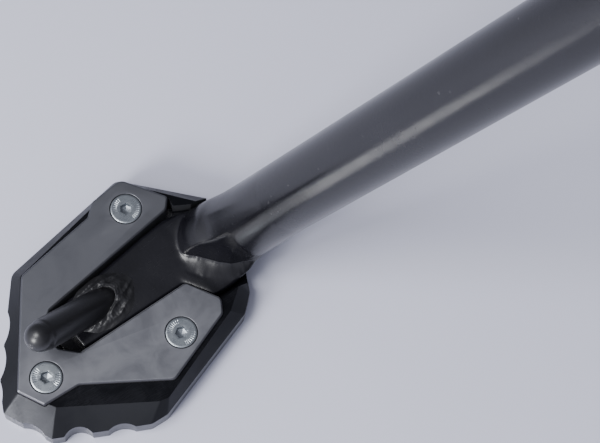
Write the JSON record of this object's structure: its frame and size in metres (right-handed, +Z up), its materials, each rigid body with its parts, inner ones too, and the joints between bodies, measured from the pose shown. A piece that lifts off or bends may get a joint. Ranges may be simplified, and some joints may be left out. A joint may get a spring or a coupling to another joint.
{
  "type": "motorcycle kickstand",
  "caption": "Motorcycle side stand: a tube leg that folds on a bracket pivot under a pair of springs, with a pressed toe, a foot peg and a clamped widened foot plate.",
  "frame": {"origin": "centre of the four frame bolts, on the bracket's mounting face", "axes": "+X forward, +Y outboard from the frame, +Z up; the stand is deployed, with its foot flat on the ground plane z = -0.36 m"},
  "size_m": [0.1572, 0.2811, 0.389],
  "materials": {
    "painted_steel": "semi-gloss black powder coat",
    "anodised_black": "satin black anodised",
    "anodised_grey": "satin grey anodised",
    "zinc_steel": "bright zinc plated",
    "spring_steel": "dark drawn wire",
    "bronze": "sintered bronze",
    "black_rubber": "moulded",
    "black_plastic": "moulded, glass filled"
  },
  "bodies": {
    "bracket": {"frame_bracket": "painted_steel", "rest_bumper": "black_rubber", "bracket_spring_post": "zinc_steel", "pivot_bushes": "bronze", "pivot_seals": "black_rubber", "pivot_bolt": "zinc_steel", "pivot_nut": "zinc_steel", "switch_body": "black_plastic", "switch_screw": "zinc_steel"},
    "leg": {"leg_fork": "painted_steel", "fork_weld": "painted_steel", "leg_tube": "painted_steel", "switch_rotor": "black_plastic", "leg_spring_post": "zinc_steel", "spring_post_weld": "painted_steel", "stock_foot": "painted_steel", "stock_foot_weld": "painted_steel", "foot_peg": "painted_steel", "peg_weld": "painted_steel", "base_plate": "anodised_black", "clamp_plate": "anodised_grey", "clamp_screws": "zinc_steel"},
    "springs": {"outer_spring": "spring_steel", "inner_spring": "spring_steel"}
  },
  "joints": [
    {"name": "leg_swing", "type": "hinge", "parent": "bracket", "child": "leg", "pos_m": [0, 0.048, -0.07], "axis": [0, 0.9135, 0.4067], "range_deg": [0, 105]},
    {"name": "spring_swing", "type": "hinge", "parent": "bracket", "child": "springs", "pos_m": [0.01868, 0.03845, -0.04855], "axis": [0, 0.9135, 0.4067], "range_deg": [0, 80.3], "deforming": ["outer_spring", "inner_spring"]}
  ],
  "couplings": [
    {"joint": "spring_swing", "follows": "leg_swing", "ratio": 0.76383}
  ]
}
